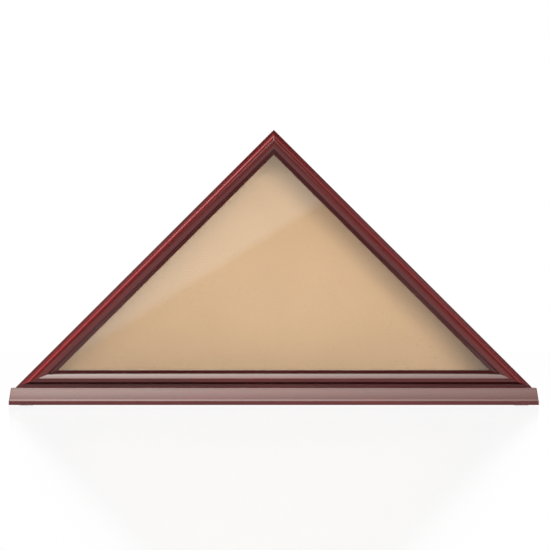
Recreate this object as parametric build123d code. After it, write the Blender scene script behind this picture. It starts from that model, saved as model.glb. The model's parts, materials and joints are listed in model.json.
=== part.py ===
"""Display case for a flag folded into a right-angled triangle.

Three mitred mouldings hold a sheet of glass in front of a deep three-board box.
The box stands on a moulded plinth and is shut at the back by a loose panel,
which six turn buttons keep in place.

Millimetres. X runs along the long side, -Y is the front, +Z is up. The origin is
on the surface the case stands on, under the middle of its outside box.
"""
from build123d import *
import math
import os

# ---- Outline of the case -----------------------------------------------------------
CASE_WIDTH = 648.0          # long side of the triangle, outside
BASE_ANGLE = 45.0           # slope of the two short sides, in degrees

# ---- Front moulding ----------------------------------------------------------------
RAIL_WIDTH = 22.0           # face width, outer edge to sight edge
RAIL_DEPTH = 17.0           # back face to crest
FILLET_WIDTH = 4.5          # flat strip along the outer edge
FILLET_DEPTH = 12.0         # back face to the flat strip
FILLET_ROUND = 0.8          # softened outer arris
RISE_WIDTH = 3.4            # rounded rise from the flat strip to the band
RISE_BULGE = 0.6            # how far the rise swells beyond a plain slope
QUIRK_DEPTH = 0.5           # upright start of the rise
CREST_INSET = 1.6           # top of the rise to the band's crest
BAND_DROP = 3.0             # how far the band's inner edge lies below the crest
LIP_WIDTH = 4.8             # low strip next to the glass
LIP_DEPTH = 9.5             # back face to the low strip
LIP_FALL = 0.4              # the low strip slopes back towards the glass

# ---- Box boards --------------------------------------------------------------------
WALL_THICK = 12.0
WALL_DEPTH = 72.0           # back of the mouldings to the back of the case
REBATE_WIDTH = 4.5          # rebate for the back panel, cut into the boards' inner edge

# ---- Glass and the strips that hold it ---------------------------------------------
GLASS_THICK = 2.0
GLASS_EDGE_GAP = 0.5        # glass edge to the moulding's rabbet
RABBET_LAND = 1.0           # the rabbet starts this far inside the boards' inner face
STOP_DEPTH = 8.0            # strip behind the glass, front to back
STOP_REVEAL = 2.0           # the strip stays this far behind the moulding's sight edge

# ---- Back panel --------------------------------------------------------------------
PANEL_THICK = 3.0
PANEL_EDGE_GAP = 0.5        # panel edge to the rebate
PANEL_SEAT_GAP = 0.3        # panel face to the rebate's shelf
PANEL_SUNK = 0.2            # panel's back face below the boards' back edge

# ---- Turn buttons and their screws -------------------------------------------------
BUTTON_LENGTH = 27.0
BUTTON_WIDTH = 7.0
BUTTON_THICK = 1.2
BUTTON_PLAY = 0.3           # gap in front of a button, and again behind it
BUTTON_HOLE_PLAY = 0.05     # radial gap round the screw
BUTTON_FROM_BASE = 150.0    # pivot from the lower corner, along a short side
BUTTON_FROM_APEX = 120.0    # pivot from the apex, along a short side
BUTTON_FROM_MIDDLE = 150.0  # pivot from the middle of the long side
PIVOT_SHANK = 3.0
PIVOT_HEAD = 6.0
PIVOT_HEAD_HEIGHT = 1.6
PIVOT_GRIP = 10.0           # length of shank in the board
PIVOT_SLOT = 0.8

# ---- Nails -------------------------------------------------------------------------
BRAD_DIAMETER = 1.2
BRAD_SUNK = 0.5             # brad head below the surface
CORNER_BRAD_LENGTH = 16.0   # at the two lower corners
APEX_BRAD_LENGTH = 20.0
CORNER_BRAD_INSET = 20.0    # from the lower corner, along the long side
BRAD_FROM_EDGE = 15.0       # from the boards' front and back edges
STOP_BRAD_GRIP = 6.0        # length of a strip's brad in the board
STOP_BRAD_INSET = 110.0     # from the case's corner, along a side
V_NAIL_WING = 4.0
V_NAIL_THICK = 0.6
V_NAIL_DEPTH = 6.0
V_NAIL_SPREAD = 60.0        # between a wing and the mitre, in degrees
V_NAIL_PLACES = (5.0, 9.5)  # distance from the outer edge, square to it

# ---- Plinth ------------------------------------------------------------------------
PLINTH_HEIGHT = 21.5
PLINTH_SIDE = 7.0           # past the case's lower corners, at each end
PLINTH_FRONT = 8.0          # past the mouldings' crest
PLINTH_LIP_HEIGHT = 5.0
PLINTH_LIP_ROUND = 0.4
PLINTH_COVE_WIDTH = 0.5     # hollow at the foot of the face
PLINTH_COVE_HEIGHT = 1.8
PLINTH_FACE_LEAN = 1.9      # setback of the face between its foot and its top
PLINTH_FACE_BULGE = 0.05
PLINTH_TOP_ROUND = 1.2
PLINTH_SCREW_SHANK = 4.0
PLINTH_SCREW_HEAD = 8.0
PLINTH_SCREW_CONE = 2.4     # height of the countersunk head
PLINTH_SCREW_SUNK = 1.0     # head below the plinth's underside
PLINTH_SCREW_GRIP = 9.0     # length of shank in the lower board
PLINTH_SCREW_SPACING = 220.0
PAD_DIAMETER = 18.0
PAD_THICK = 1.0
PAD_INSET = 20.0            # pad centre from the plinth's lip and back

# ---- Worked out from the sizes above -----------------------------------------------
BUTTON_STACK = 2 * BUTTON_PLAY + BUTTON_THICK + PIVOT_HEAD_HEIGHT
TOTAL_DEPTH = PLINTH_FRONT + RAIL_DEPTH + WALL_DEPTH + BUTTON_STACK
Y_PLINTH_LIP = -TOTAL_DEPTH / 2
Y_RAIL_BACK = Y_PLINTH_LIP + PLINTH_FRONT + RAIL_DEPTH
Y_CASE_BACK = Y_RAIL_BACK + WALL_DEPTH
Z_CASE = PAD_THICK + PLINTH_HEIGHT
CASE_HEIGHT = CASE_WIDTH / 2 * math.tan(math.radians(BASE_ANGLE))
PLINTH_WIDTH = CASE_WIDTH + 2 * PLINTH_SIDE
PLINTH_DEPTH = Y_CASE_BACK - Y_PLINTH_LIP
REBATE_DEPTH = PANEL_SEAT_GAP + PANEL_THICK + PANEL_SUNK
WALL_LAND = WALL_THICK - REBATE_WIDTH
RABBET_START = WALL_THICK + RABBET_LAND

BACKWARDS = Vector(0, 1, 0)
LOWER_LEFT = Vector(-CASE_WIDTH / 2, 0, Z_CASE)
LOWER_RIGHT = Vector(CASE_WIDTH / 2, 0, Z_CASE)
APEX = Vector(0, 0, Z_CASE + CASE_HEIGHT)
INRADIUS = CASE_WIDTH / 2 * math.tan(math.radians(BASE_ANGLE / 2))
CENTRE = Vector(0, 0, Z_CASE + INRADIUS)


class Side:
    """One side of the triangle, with a frame of its own.

    In that frame x is the distance inwards from the outer edge, y is the case's own
    Y, and z is the distance along the side from its first corner.
    """

    def __init__(self, name, first, last):
        self.name = name
        self.first = first
        self.last = last
        self.length = (last - first).length
        self.along = (last - first).normalized()
        self.inward = BACKWARDS.cross(self.along)
        self.frame = Plane(origin=first, x_dir=self.inward, z_dir=self.along)

    def mitred(self, section):
        """The section run along this side and cut to both mitres."""
        bar = extrude(self.frame * section, amount=self.length, dir=self.along)
        corners = [self.first, self.last, CENTRE]
        return bar & prism(corners, Y_PLINTH_LIP, Y_CASE_BACK)

    def point(self, inwards, y, along):
        return self.first + self.inward * inwards + BACKWARDS * y + self.along * along


def prism(corners, y_front, y_back):
    """The outline through the corners, as a solid from y_front to y_back."""
    outline = Polyline([(corner.X, y_back, corner.Z) for corner in corners], close=True)
    return extrude(make_face(outline), amount=y_back - y_front, dir=(0, -1, 0))


def inset_outline(inset):
    """The case's corners moved in, so that each side lies inset from the outside."""
    share = inset / INRADIUS
    return [corner + (CENTRE - corner) * share for corner in (LOWER_LEFT, APEX, LOWER_RIGHT)]


def turned(outline):
    """A round piece on the Z axis, from its (radius, height) points."""
    return revolve(make_face(Polyline([(r, 0, h) for r, h in outline], close=True)), Axis.Z)


def rod(start, direction, diameter, length):
    """A round rod from start along direction."""
    return Plane(origin=start, z_dir=direction) * extrude(Circle(diameter / 2), amount=length)


def group(solids):
    """Several loose solids as one shape."""
    return Compound(children=list(solids))


SIDES = {
    "left": Side("left", LOWER_LEFT, APEX),
    "right": Side("right", APEX, LOWER_RIGHT),
    "bottom": Side("bottom", LOWER_RIGHT, LOWER_LEFT),
}


# ---- Front mouldings ---------------------------------------------------------------
def rail_section():
    """Section of the moulding: flat strip, rounded rise, broad band, low lip, rabbet."""

    def at(inwards, depth):
        return (inwards, Y_RAIL_BACK - depth)

    band_start = FILLET_WIDTH + RISE_WIDTH
    band_end = RAIL_WIDTH - LIP_WIDTH
    crest = band_start + CREST_INSET
    fall = band_end - crest
    band_radius = (fall ** 2 + BAND_DROP ** 2) / (2 * BAND_DROP)
    rise_foot = FILLET_DEPTH + QUIRK_DEPTH
    rise_top = RAIL_DEPTH - band_radius + math.sqrt(band_radius ** 2 - CREST_INSET ** 2)
    rise_slope = math.atan2(rise_top - rise_foot, RISE_WIDTH)
    rise_middle = (
        (FILLET_WIDTH + band_start) / 2 - RISE_BULGE * math.sin(rise_slope),
        (rise_foot + rise_top) / 2 + RISE_BULGE * math.cos(rise_slope),
    )
    bow = FILLET_ROUND * (1 - math.sqrt(0.5))
    edge = (
        Line(at(0, 0), at(0, FILLET_DEPTH - FILLET_ROUND))
        + ThreePointArc(
            at(0, FILLET_DEPTH - FILLET_ROUND),
            at(bow, FILLET_DEPTH - bow),
            at(FILLET_ROUND, FILLET_DEPTH),
        )
        + Line(at(FILLET_ROUND, FILLET_DEPTH), at(FILLET_WIDTH, FILLET_DEPTH))
        + Line(at(FILLET_WIDTH, FILLET_DEPTH), at(FILLET_WIDTH, rise_foot))
        + ThreePointArc(at(FILLET_WIDTH, rise_foot), at(*rise_middle), at(band_start, rise_top))
        + ThreePointArc(
            at(band_start, rise_top),
            at(crest, RAIL_DEPTH),
            at(band_end, RAIL_DEPTH - BAND_DROP),
        )
        + Polyline(
            at(band_end, RAIL_DEPTH - BAND_DROP),
            at(band_end, LIP_DEPTH),
            at(RAIL_WIDTH, LIP_DEPTH - LIP_FALL),
            at(RAIL_WIDTH, GLASS_THICK),
            at(RABBET_START, GLASS_THICK),
            at(RABBET_START, 0),
            at(0, 0),
        )
    )
    return make_face(edge)


def v_nails():
    """Pressed-steel V nails across the back of each mitre, two to a corner."""
    nails = []
    for corner in (LOWER_LEFT, APEX, LOWER_RIGHT):
        to_centre = (CENTRE - corner).normalized()
        per_inset = (CENTRE - corner).length / INRADIUS
        for inset in V_NAIL_PLACES:
            spine = corner + to_centre * (inset * per_inset) + BACKWARDS * Y_RAIL_BACK
            nails.append(v_nail(spine, to_centre))
    return nails


def v_nail(spine, pointing):
    """One V nail: two thin wings that meet on the mitre and open in the given direction."""
    wings = []
    for turn in (-V_NAIL_SPREAD, V_NAIL_SPREAD):
        frame = Plane(origin=spine, x_dir=pointing.rotate(Axis.Y, turn), z_dir=(0, -1, 0))
        blade = Rectangle(V_NAIL_WING, V_NAIL_THICK, align=(Align.MIN, Align.CENTER))
        wings.append(extrude(frame * blade, amount=V_NAIL_DEPTH, dir=(0, -1, 0)))
    return wings[0] + wings[1]


# ---- Box boards, glass and back panel ----------------------------------------------
def wall_section():
    """Section of a board: its inner back edge is rebated for the panel."""
    outline = Polyline(
        (0, Y_RAIL_BACK),
        (WALL_THICK, Y_RAIL_BACK),
        (WALL_THICK, Y_CASE_BACK - REBATE_DEPTH),
        (WALL_LAND, Y_CASE_BACK - REBATE_DEPTH),
        (WALL_LAND, Y_CASE_BACK),
        (0, Y_CASE_BACK),
        close=True,
    )
    return make_face(outline)


def stop_section():
    """Section of the strip that holds the glass into the moulding's rabbet."""
    far = RAIL_WIDTH - STOP_REVEAL
    outline = Polyline(
        (WALL_THICK, Y_RAIL_BACK),
        (far, Y_RAIL_BACK),
        (far, Y_RAIL_BACK + STOP_DEPTH),
        (WALL_THICK, Y_RAIL_BACK + STOP_DEPTH),
        close=True,
    )
    return make_face(outline)


def glass():
    return prism(inset_outline(RABBET_START + GLASS_EDGE_GAP), Y_RAIL_BACK - GLASS_THICK, Y_RAIL_BACK)


def panel():
    back = Y_CASE_BACK - PANEL_SUNK
    return prism(inset_outline(WALL_LAND + PANEL_EDGE_GAP), back - PANEL_THICK, back)


def corner_brads():
    """Brads across each corner of the box, one near the front and one near the back."""
    spots = [
        (SIDES["right"], WALL_THICK / 2, APEX_BRAD_LENGTH),
        (SIDES["bottom"], CORNER_BRAD_INSET, CORNER_BRAD_LENGTH),
        (SIDES["bottom"], SIDES["bottom"].length - CORNER_BRAD_INSET, CORNER_BRAD_LENGTH),
    ]
    brads = []
    for side, along, length in spots:
        for y in (Y_RAIL_BACK + BRAD_FROM_EDGE, Y_CASE_BACK - BRAD_FROM_EDGE):
            head = side.point(BRAD_SUNK, y, along)
            brads.append(rod(head, side.inward, BRAD_DIAMETER, length))
    return brads


def stop_brads():
    """Three brads through each glass strip into its board."""
    brads = []
    far = RAIL_WIDTH - STOP_REVEAL
    for side in SIDES.values():
        for along in (STOP_BRAD_INSET, side.length / 2, side.length - STOP_BRAD_INSET):
            head = side.point(far, Y_RAIL_BACK + STOP_DEPTH / 2, along)
            length = far - WALL_THICK + STOP_BRAD_GRIP
            brads.append(rod(head, side.inward * -1, BRAD_DIAMETER, length))
    return brads


# ---- Turn buttons ------------------------------------------------------------------
def button_spots():
    """Each button's name, its pivot on the boards' back edge, and where its tail points."""
    left, right, bottom = SIDES["left"], SIDES["right"], SIDES["bottom"]
    plan = [
        ("turn_button_left_lower", left, BUTTON_FROM_BASE, -1),
        ("turn_button_left_upper", left, left.length - BUTTON_FROM_APEX, -1),
        ("turn_button_right_upper", right, BUTTON_FROM_APEX, 1),
        ("turn_button_right_lower", right, right.length - BUTTON_FROM_BASE, 1),
        ("turn_button_bottom_left", bottom, bottom.length / 2 + BUTTON_FROM_MIDDLE, -1),
        ("turn_button_bottom_right", bottom, bottom.length / 2 - BUTTON_FROM_MIDDLE, 1),
    ]
    spots = []
    for name, side, along, way in plan:
        spots.append((name, side.point(WALL_LAND / 2, Y_CASE_BACK, along), side.along * way))
    return spots


def turn_button(pivot, tail):
    """Flat steel strip with round ends, bored near one end for its screw."""
    frame = Plane(origin=pivot + BACKWARDS * BUTTON_PLAY, x_dir=tail, z_dir=(0, 1, 0))
    middle = BUTTON_LENGTH / 2 - BUTTON_WIDTH / 2
    blank = Pos(middle, 0) * SlotOverall(BUTTON_LENGTH, BUTTON_WIDTH)
    bore = Circle(PIVOT_SHANK / 2 + BUTTON_HOLE_PLAY)
    return extrude(frame * (blank - bore), amount=BUTTON_THICK, dir=(0, 1, 0))


def pivot_screw(pivot):
    """Round-head screw that a turn button swings on."""
    under_head = BUTTON_THICK + 2 * BUTTON_PLAY
    shank = turned([
        (0, -PIVOT_GRIP),
        (PIVOT_SHANK / 2, -PIVOT_GRIP),
        (PIVOT_SHANK / 2, under_head),
        (PIVOT_HEAD / 2, under_head),
        (PIVOT_HEAD / 2, under_head + PIVOT_HEAD_HEIGHT / 2),
        (PIVOT_HEAD / 4, under_head + PIVOT_HEAD_HEIGHT),
        (0, under_head + PIVOT_HEAD_HEIGHT),
    ])
    slot = Pos(0, 0, under_head + PIVOT_HEAD_HEIGHT) * Box(PIVOT_HEAD, PIVOT_SLOT, PIVOT_SLOT)
    return Plane(origin=pivot, z_dir=(0, 1, 0)) * (shank - slot)


# ---- Plinth ------------------------------------------------------------------------
def moulded_board(frame, reach, run):
    """A board moulded along one edge: the frame's x points out of that edge, y up."""
    face_foot = PLINTH_LIP_HEIGHT + PLINTH_COVE_HEIGHT
    face_top = PLINTH_HEIGHT - PLINTH_TOP_ROUND
    foot_in = PLINTH_COVE_WIDTH
    top_in = foot_in + PLINTH_FACE_LEAN
    lip = PLINTH_LIP_ROUND
    bow = 1 - math.sqrt(0.5)
    edge = (
        Line((0, 0), (0, PLINTH_LIP_HEIGHT - lip))
        + ThreePointArc(
            (0, PLINTH_LIP_HEIGHT - lip),
            (-lip * bow, PLINTH_LIP_HEIGHT - lip * bow),
            (-lip, PLINTH_LIP_HEIGHT),
        )
        + Line((-lip, PLINTH_LIP_HEIGHT), (-foot_in, face_foot))
        + ThreePointArc(
            (-foot_in, face_foot),
            (PLINTH_FACE_BULGE - (foot_in + top_in) / 2, (face_foot + face_top) / 2),
            (-top_in, face_top),
        )
        + ThreePointArc(
            (-top_in, face_top),
            (-top_in - PLINTH_TOP_ROUND * bow, PLINTH_HEIGHT - PLINTH_TOP_ROUND * bow),
            (-top_in - PLINTH_TOP_ROUND, PLINTH_HEIGHT),
        )
        + Polyline(
            (-top_in - PLINTH_TOP_ROUND, PLINTH_HEIGHT),
            (-reach, PLINTH_HEIGHT),
            (-reach, 0),
            (0, 0),
        )
    )
    return extrude(frame * make_face(edge), amount=run / 2, both=True)


def plinth_board():
    """Plinth moulded along its front and both ends, with a flat back."""
    middle_y = (Y_PLINTH_LIP + Y_CASE_BACK) / 2
    half = PLINTH_WIDTH / 2
    front = Plane(origin=(0, Y_PLINTH_LIP, PAD_THICK), x_dir=(0, -1, 0), z_dir=(-1, 0, 0))
    left = Plane(origin=(-half, middle_y, PAD_THICK), x_dir=(-1, 0, 0), z_dir=(0, 1, 0))
    right = Plane(origin=(half, middle_y, PAD_THICK), x_dir=(1, 0, 0), z_dir=(0, -1, 0))
    board = moulded_board(front, PLINTH_DEPTH, PLINTH_WIDTH)
    board &= moulded_board(left, PLINTH_WIDTH, PLINTH_DEPTH)
    board &= moulded_board(right, PLINTH_WIDTH, PLINTH_DEPTH)
    return board


def plinth_screws():
    """Countersunk screws from under the plinth into the lower board."""
    head_z = PAD_THICK + PLINTH_SCREW_SUNK
    tip_z = Z_CASE + PLINTH_SCREW_GRIP
    screw = turned([
        (0, head_z),
        (PLINTH_SCREW_HEAD / 2, head_z),
        (PLINTH_SCREW_SHANK / 2, head_z + PLINTH_SCREW_CONE),
        (PLINTH_SCREW_SHANK / 2, tip_z),
        (0, tip_z),
    ])
    y = (Y_RAIL_BACK + Y_CASE_BACK) / 2
    return [Pos(step * PLINTH_SCREW_SPACING, y, 0) * screw for step in (-1, 0, 1)]


def plinth_screw_mouths():
    """Open recesses below the sunk screw heads."""
    y = (Y_RAIL_BACK + Y_CASE_BACK) / 2
    recess = Cylinder(
        PLINTH_SCREW_HEAD / 2,
        PLINTH_SCREW_SUNK,
        align=(Align.CENTER, Align.CENTER, Align.MIN),
    )
    return [Pos(step * PLINTH_SCREW_SPACING, y, PAD_THICK) * recess for step in (-1, 0, 1)]


def felt_pads():
    """Thin round pads under the plinth's corners."""
    pad = Cylinder(PAD_DIAMETER / 2, PAD_THICK, align=(Align.CENTER, Align.CENTER, Align.MIN))
    x = PLINTH_WIDTH / 2 - PAD_INSET
    return [
        Pos(side * x, y, 0) * pad
        for side in (-1, 1)
        for y in (Y_PLINTH_LIP + PAD_INSET, Y_CASE_BACK - PAD_INSET)
    ]


# ---- Assembly ----------------------------------------------------------------------
def cut_by(shape, tools):
    """The shape with every tool's volume taken out of it."""
    for tool in tools:
        shape = shape - tool
    return shape


def build_nodes():
    """Every piece of the case, by name."""
    wedges = v_nails()
    box_brads = corner_brads()
    strip_brads = stop_brads()
    base_screws = plinth_screws()
    spots = button_spots()
    pivots = [pivot_screw(pivot) for _, pivot, _ in spots]

    nodes = {}
    for name, side in SIDES.items():
        nodes["front_rail_" + name] = cut_by(side.mitred(rail_section()), wedges)
        fixings = box_brads + strip_brads + pivots + base_screws
        nodes["wall_" + name] = cut_by(side.mitred(wall_section()), fixings)
        nodes["glass_stop_" + name] = cut_by(side.mitred(stop_section()), strip_brads)
    nodes["glass_pane"] = glass()
    nodes["back_panel"] = panel()
    for name, pivot, tail in spots:
        nodes[name] = turn_button(pivot, tail)
    nodes["plinth"] = cut_by(plinth_board(), base_screws + plinth_screw_mouths())
    nodes["turn_button_screws"] = group(pivots)
    nodes["plinth_screws"] = group(base_screws)
    nodes["v_nails"] = group(wedges)
    nodes["corner_brads"] = group(box_brads)
    nodes["stop_brads"] = group(strip_brads)
    nodes["felt_pads"] = group(felt_pads())
    return nodes


os.makedirs("parts", exist_ok=True)
for node, shape in build_nodes().items():
    export_step(shape, "parts/" + node + ".step")
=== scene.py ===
"""Looks of a display case for a folded flag: lacquered mouldings, glass, board and fittings.

Metres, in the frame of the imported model: X along the long side, -Y the front, +Z up.
"""
import json
import math

import bmesh
import bpy
from mathutils import Matrix, Vector


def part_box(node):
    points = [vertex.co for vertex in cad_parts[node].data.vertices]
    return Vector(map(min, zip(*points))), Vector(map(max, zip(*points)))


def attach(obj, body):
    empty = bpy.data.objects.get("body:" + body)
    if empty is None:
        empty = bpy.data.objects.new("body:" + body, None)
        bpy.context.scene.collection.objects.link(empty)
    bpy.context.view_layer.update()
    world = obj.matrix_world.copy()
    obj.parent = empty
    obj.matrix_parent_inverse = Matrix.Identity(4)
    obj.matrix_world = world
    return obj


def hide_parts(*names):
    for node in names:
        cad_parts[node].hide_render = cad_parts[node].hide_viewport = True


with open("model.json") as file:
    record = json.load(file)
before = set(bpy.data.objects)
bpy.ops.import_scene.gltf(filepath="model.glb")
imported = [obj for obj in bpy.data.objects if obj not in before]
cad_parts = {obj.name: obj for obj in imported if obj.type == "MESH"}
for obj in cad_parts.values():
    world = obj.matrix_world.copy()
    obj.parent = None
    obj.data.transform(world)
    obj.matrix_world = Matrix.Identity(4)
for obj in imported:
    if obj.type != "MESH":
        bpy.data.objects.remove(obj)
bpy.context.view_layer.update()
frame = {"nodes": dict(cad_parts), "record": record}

MM = 0.001

# ---- Sizes and places read from the frame ------------------------------------------
RAIL_LOW, RAIL_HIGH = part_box("front_rail_bottom")
WALL_LOW, WALL_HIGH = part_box("wall_bottom")
PLINTH_LOW, PLINTH_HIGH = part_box("plinth")
PANEL_LOW, PANEL_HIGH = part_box("back_panel")
GLASS_LOW, GLASS_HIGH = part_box("glass_pane")
STOP_LOW, STOP_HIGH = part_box("glass_stop_bottom")
PAD_LOW, PAD_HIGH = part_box("felt_pads")

RAIL_WIDTH = RAIL_HIGH.z - RAIL_LOW.z
RAIL_DEPTH = RAIL_HIGH.y - RAIL_LOW.y
RAIL_BACK = RAIL_HIGH.y
WALL_THICK = WALL_HIGH.z - WALL_LOW.z
CASE_BACK = WALL_HIGH.y
GLASS_THICK = GLASS_HIGH.y - GLASS_LOW.y
STOP_DEPTH = STOP_HIGH.y - STOP_LOW.y

LOWER_LEFT = Vector((RAIL_LOW.x, 0, RAIL_LOW.z))
LOWER_RIGHT = Vector((RAIL_HIGH.x, 0, RAIL_LOW.z))
APEX = Vector((0, 0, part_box("front_rail_left")[1].z))
BACKWARDS = Vector((0, 1, 0))

# ---- Moulding section ---------------------------------------------------------------
FILLET_WIDTH = 4.5 * MM
FILLET_DEPTH = 12.0 * MM
RISE_WIDTH = 3.4 * MM
RISE_BULGE = 0.6 * MM
QUIRK_DEPTH = 0.5 * MM
CREST_INSET = 1.6 * MM
BAND_DROP = 3.0 * MM
BAND_CURL = 2.6
BAND_STEPS = 24
LIP_WIDTH = 4.8 * MM
LIP_DEPTH = 9.5 * MM
LIP_FALL = 0.4 * MM
RABBET_LAND = 1.0 * MM

# ---- Box, panel and plinth details --------------------------------------------------
REBATE_WIDTH = 4.5 * MM
REBATE_DEPTH = 3.5 * MM
PLINTH_LIP_HEIGHT = 5.0 * MM
PLINTH_COVE_WIDTH = 0.5 * MM
PLINTH_COVE_HEIGHT = 1.8 * MM
PLINTH_COVE_HOLLOW = 0.05 * MM
PLINTH_FACE_LEAN = 1.9 * MM
PLINTH_FACE_BULGE = 0.04 * MM
PLINTH_TOP_ROUND = 1.2 * MM
PLINTH_CORNER = 0.5 * MM
EDGE_GAP = 0.5 * MM
GLASS_EDGE = 0.2 * MM
PANEL_EDGE = 0.3 * MM
APEX_SOFT = 1.0 * MM
BASE_SOFT = 0.45 * MM
SEAM = 0.02 * MM
SUPPORT = 0.15 * MM         # from a rounded corner to the ring or point that keeps a face flat
ARRIS_SUPPORT = 0.08 * MM   # the same beside a soft arris of a section
ARRIS_STEPS = 4
CORNER_STEPS = 5
BAR_RINGS = 40

# ---- Fittings -------------------------------------------------------------------------
BUTTON_LENGTH = 27.0 * MM
BUTTON_WIDTH = 7.0 * MM
BUTTON_THICK = 1.2 * MM
BUTTON_PLAY = 0.3 * MM
BUTTON_BORE = 1.55 * MM
PIVOT_SHANK = 1.5 * MM
PIVOT_HEAD = 3.0 * MM
PIVOT_HEAD_HEIGHT = 1.6 * MM
PIVOT_GRIP = 10.0 * MM
PIVOT_SLOT = 0.8 * MM
PLINTH_SCREW_SHANK = 2.0 * MM
PLINTH_SCREW_HEAD = 4.0 * MM
PLINTH_SCREW_CONE = 2.4 * MM
PLINTH_SCREW_SUNK = 1.0 * MM
PLINTH_SCREW_SPACING = 220.0 * MM
PAD_RADIUS = 9.0 * MM
PAD_TAPER = 0.15 * MM
TURNED_STEPS = 32
BORE_FACETS = 40
MERGE_GAP = 0.002 * MM
SHARP_BEND = math.radians(35)


# ======================================================================================
# Node trees written as Python
# ======================================================================================
class Wire:
    """A node's output that takes part in Python arithmetic; each step adds a Math node."""

    def __init__(self, graph, socket):
        self.graph = graph
        self.socket = socket

    def __add__(self, other):
        return self.graph.math("ADD", self, other)

    def __radd__(self, other):
        return self.graph.math("ADD", other, self)

    def __sub__(self, other):
        return self.graph.math("SUBTRACT", self, other)

    def __rsub__(self, other):
        return self.graph.math("SUBTRACT", other, self)

    def __mul__(self, other):
        return self.graph.math("MULTIPLY", self, other)

    def __rmul__(self, other):
        return self.graph.math("MULTIPLY", other, self)

    def __truediv__(self, other):
        return self.graph.math("DIVIDE", self, other)


class Graph:
    """A shader or geometry node tree."""

    def __init__(self, tree):
        self.tree = tree
        self.tree.nodes.clear()

    def node(self, kind, settings=None, sockets=None, out=0):
        """Adds a node: its settings first, then the values or links of its sockets."""
        made = self.tree.nodes.new(kind)
        for name, value in (settings or {}).items():
            if name == "stops":
                self.set_stops(made.color_ramp, value)
            else:
                setattr(made, name, value)
        for key, value in (sockets or {}).items():
            self.feed(made.inputs[key], value)
        return Wire(self, made.outputs[out]) if made.outputs else made

    def feed(self, socket, value):
        if isinstance(value, Wire):
            self.tree.links.new(value.socket, socket)
        else:
            socket.default_value = value

    def set_stops(self, ramp, stops):
        while len(ramp.elements) < len(stops):
            ramp.elements.new(0.5)
        for element, (place, colour) in zip(ramp.elements, stops):
            element.position = place
            element.color = (*colour, 1.0)

    def math(self, operation, *values, clamp=False):
        settings = {"operation": operation, "use_clamp": clamp}
        return self.node("ShaderNodeMath", settings, dict(enumerate(values)))

    def other(self, wire, out):
        """Another output of the node that a wire comes from."""
        return Wire(self, wire.socket.node.outputs[out])

    def stored(self, geometry, name, value, kind="FLOAT"):
        """The geometry with a value kept at each of its points."""
        settings = {"data_type": kind, "domain": "POINT"}
        sockets = {"Geometry": geometry, "Name": name, "Value": value}
        return self.node("GeometryNodeStoreNamedAttribute", settings, sockets)

    def named(self, name):
        """A number that was kept at the points."""
        settings = {"data_type": "FLOAT"}
        return self.node("GeometryNodeInputNamedAttribute", settings, {"Name": name})


class Finish(Graph):
    """A material. Its shader maths is Python arithmetic on wires."""

    def __init__(self, name):
        self.material = bpy.data.materials.new(name)
        self.material.use_nodes = True
        super().__init__(self.material.node_tree)

    def place(self, attribute=None):
        """Where a point is: the piece's own attribute, or its Object coordinates."""
        if attribute:
            settings = {"attribute_type": "GEOMETRY", "attribute_name": attribute}
            return self.node("ShaderNodeAttribute", settings, out="Vector")
        return self.node("ShaderNodeTexCoord", out="Object")

    def value(self, attribute):
        settings = {"attribute_type": "GEOMETRY", "attribute_name": attribute}
        return self.node("ShaderNodeAttribute", settings, out="Fac")

    def stretched(self, place, scale, shift=(0, 0, 0)):
        sockets = {"Vector": place, "Scale": scale, "Location": shift}
        return self.node("ShaderNodeMapping", None, sockets)

    def noise(self, place, scale=1.0, detail=3.0, rough=0.5, distortion=0.0):
        sockets = {
            "Vector": place, "Scale": scale, "Detail": detail,
            "Roughness": rough, "Distortion": distortion,
        }
        return self.node("ShaderNodeTexNoise", None, sockets)

    def ramp(self, wire, *stops):
        colours = [(place, (grey,) * 3) for place, grey in stops]
        return self.node("ShaderNodeValToRGB", {"stops": colours}, {"Fac": wire})

    def mix(self, share, first, second):
        settings = {"data_type": "RGBA", "clamp_factor": True}
        sockets = {0: share, 6: colour_of(first), 7: colour_of(second)}
        return self.node("ShaderNodeMix", settings, sockets, out=2)

    def bump(self, height, distance, strength=1.0, under=None):
        sockets = {"Height": height, "Distance": distance, "Strength": strength}
        if under is not None:
            sockets["Normal"] = under
        return self.node("ShaderNodeBump", None, sockets)

    def surface(self, **sockets):
        named = {key.replace("_", " "): value for key, value in sockets.items()}
        return self.node("ShaderNodeBsdfPrincipled", None, named)

    def finish(self, shader):
        self.node("ShaderNodeOutputMaterial", None, {"Surface": shader})
        return self.material


def colour_of(value):
    """A plain colour gets its fourth number; a wire stays as it is."""
    return value if isinstance(value, Wire) else (*value, 1.0)


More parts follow.
